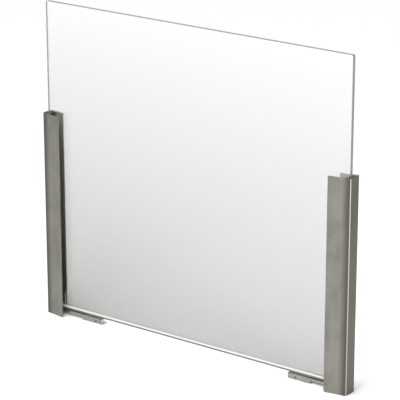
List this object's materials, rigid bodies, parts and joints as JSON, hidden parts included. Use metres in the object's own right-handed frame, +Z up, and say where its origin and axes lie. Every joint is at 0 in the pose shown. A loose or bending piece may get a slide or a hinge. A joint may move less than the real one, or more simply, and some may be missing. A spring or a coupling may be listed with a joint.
{
  "type": "sneeze guard",
  "caption": "Countertop sneeze guard: a clear upright glass pane standing in bent stainless channel posts, on rubber-padded foot brackets with fixing holes.",
  "frame": {"origin": "on the counter, under the centre of the object's bounding box", "axes": "+X along the glass to the right as the customer sees it, +Y away from the customer towards the staff, +Z up"},
  "size_m": [0.51, 0.0266, 0.46],
  "materials": {
    "glass": "clear toughened glass with ground and polished edges",
    "stainless": "satin brushed stainless sheet, grain along the post",
    "gasket_rubber": "matt black extruded rubber",
    "pad_rubber": "matt black sheet rubber",
    "rivet_steel": "plain stainless"
  },
  "bodies": {
    "frame": {"left_post": "stainless", "left_edge_gasket": "gasket_rubber", "left_foot_bracket": "stainless", "left_seat_pad": "pad_rubber", "left_outer_rivet": "rivet_steel", "left_inner_rivet": "rivet_steel", "right_post": "stainless", "right_edge_gasket": "gasket_rubber", "right_foot_bracket": "stainless", "right_seat_pad": "pad_rubber", "right_outer_rivet": "rivet_steel", "right_inner_rivet": "rivet_steel"},
    "glass": {"glass_pane": "glass"}
  },
  "joints": [
    {"name": "glass_lift", "type": "slide", "parent": "frame", "child": "glass", "axis": [0, 0, 1], "range_m": [0, 0.31]}
  ]
}
